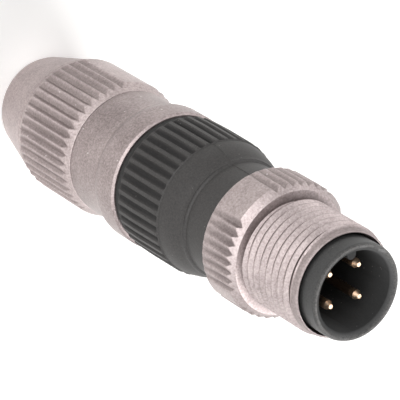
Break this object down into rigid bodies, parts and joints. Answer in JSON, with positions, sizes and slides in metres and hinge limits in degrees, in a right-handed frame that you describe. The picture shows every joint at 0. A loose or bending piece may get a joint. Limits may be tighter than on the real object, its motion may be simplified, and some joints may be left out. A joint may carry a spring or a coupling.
{
  "type": "m12 male cable connector",
  "caption": "Straight field-wired M12 male connector: knurled coupling ring, ribbed plastic grip, metal shell and cable clamp nut, with screw terminals inside.",
  "frame": {"origin": "centre of the clamp nut's rear face, on the connector's axis", "axes": "+Z along the axis, out of the mating face; the coding key is on the -Y side"},
  "size_m": [0.0154, 0.0154, 0.0584],
  "materials": {
    "ring_nickel": "satin nickel plate on die-cast zinc",
    "clip_steel": "spring steel",
    "brake_rubber": "moulded rubber",
    "carrier_plastic": "glass-filled nylon",
    "contact_gold": "gold flash on brass",
    "screw_steel": "nickel-plated steel",
    "seal_rubber": "moulded rubber",
    "grip_plastic": "moulded nylon",
    "gasket_rubber": "moulded rubber",
    "shell_nickel": "satin nickel plate on brass",
    "liner_plastic": "moulded plastic",
    "cable_seal_rubber": "moulded rubber",
    "washer_plastic": "moulded plastic",
    "cage_plastic": "moulded nylon",
    "slip_plastic": "slippery plastic",
    "nut_nickel": "satin nickel plate on die-cast zinc"
  },
  "bodies": {
    "connector_core": {"contact_carrier": "carrier_plastic", "pin_1": "contact_gold", "pin_2": "contact_gold", "pin_3": "contact_gold", "pin_4": "contact_gold", "terminal_screws": "screw_steel", "carrier_seal": "seal_rubber", "brake_ring": "brake_rubber", "grip_sleeve": "grip_plastic"},
    "coupling_ring_body": {"coupling_ring": "ring_nickel", "ring_clip": "clip_steel"},
    "shell_travel": {"shell_gasket": "gasket_rubber"},
    "shell_body": {"rear_shell": "shell_nickel", "insulating_sleeve": "liner_plastic", "cable_seal": "cable_seal_rubber", "seal_washer": "washer_plastic", "clamp_cage": "cage_plastic"},
    "nut_travel": {"thrust_washer": "slip_plastic"},
    "nut_body": {"clamp_nut": "nut_nickel"}
  },
  "joints": [
    {"name": "coupling_ring_turn", "type": "hinge", "parent": "connector_core", "child": "coupling_ring_body", "pos_m": [0, 0, 0.0447], "axis": [0, 0, 1], "continuous": true},
    {"name": "shell_unscrew_travel", "type": "slide", "parent": "connector_core", "child": "shell_travel", "axis": [0, 0, -1], "range_m": [0, 0.003]},
    {"name": "shell_unscrew_turn", "type": "hinge", "parent": "shell_travel", "child": "shell_body", "pos_m": [0, 0, 0.0247], "axis": [0, 0, -1], "range_deg": [0, 1080]},
    {"name": "nut_unscrew_travel", "type": "slide", "parent": "shell_body", "child": "nut_travel", "axis": [0, 0, -1], "range_m": [0, 0.006]},
    {"name": "nut_unscrew_turn", "type": "hinge", "parent": "nut_travel", "child": "nut_body", "pos_m": [0, 0, 0.0125], "axis": [0, 0, -1], "range_deg": [0, 2160]}
  ],
  "couplings": [
    {"joint": "shell_unscrew_travel", "follows": "shell_unscrew_turn", "m_per_rad": 0.000159},
    {"joint": "nut_unscrew_travel", "follows": "nut_unscrew_turn", "m_per_rad": 0.000159}
  ]
}
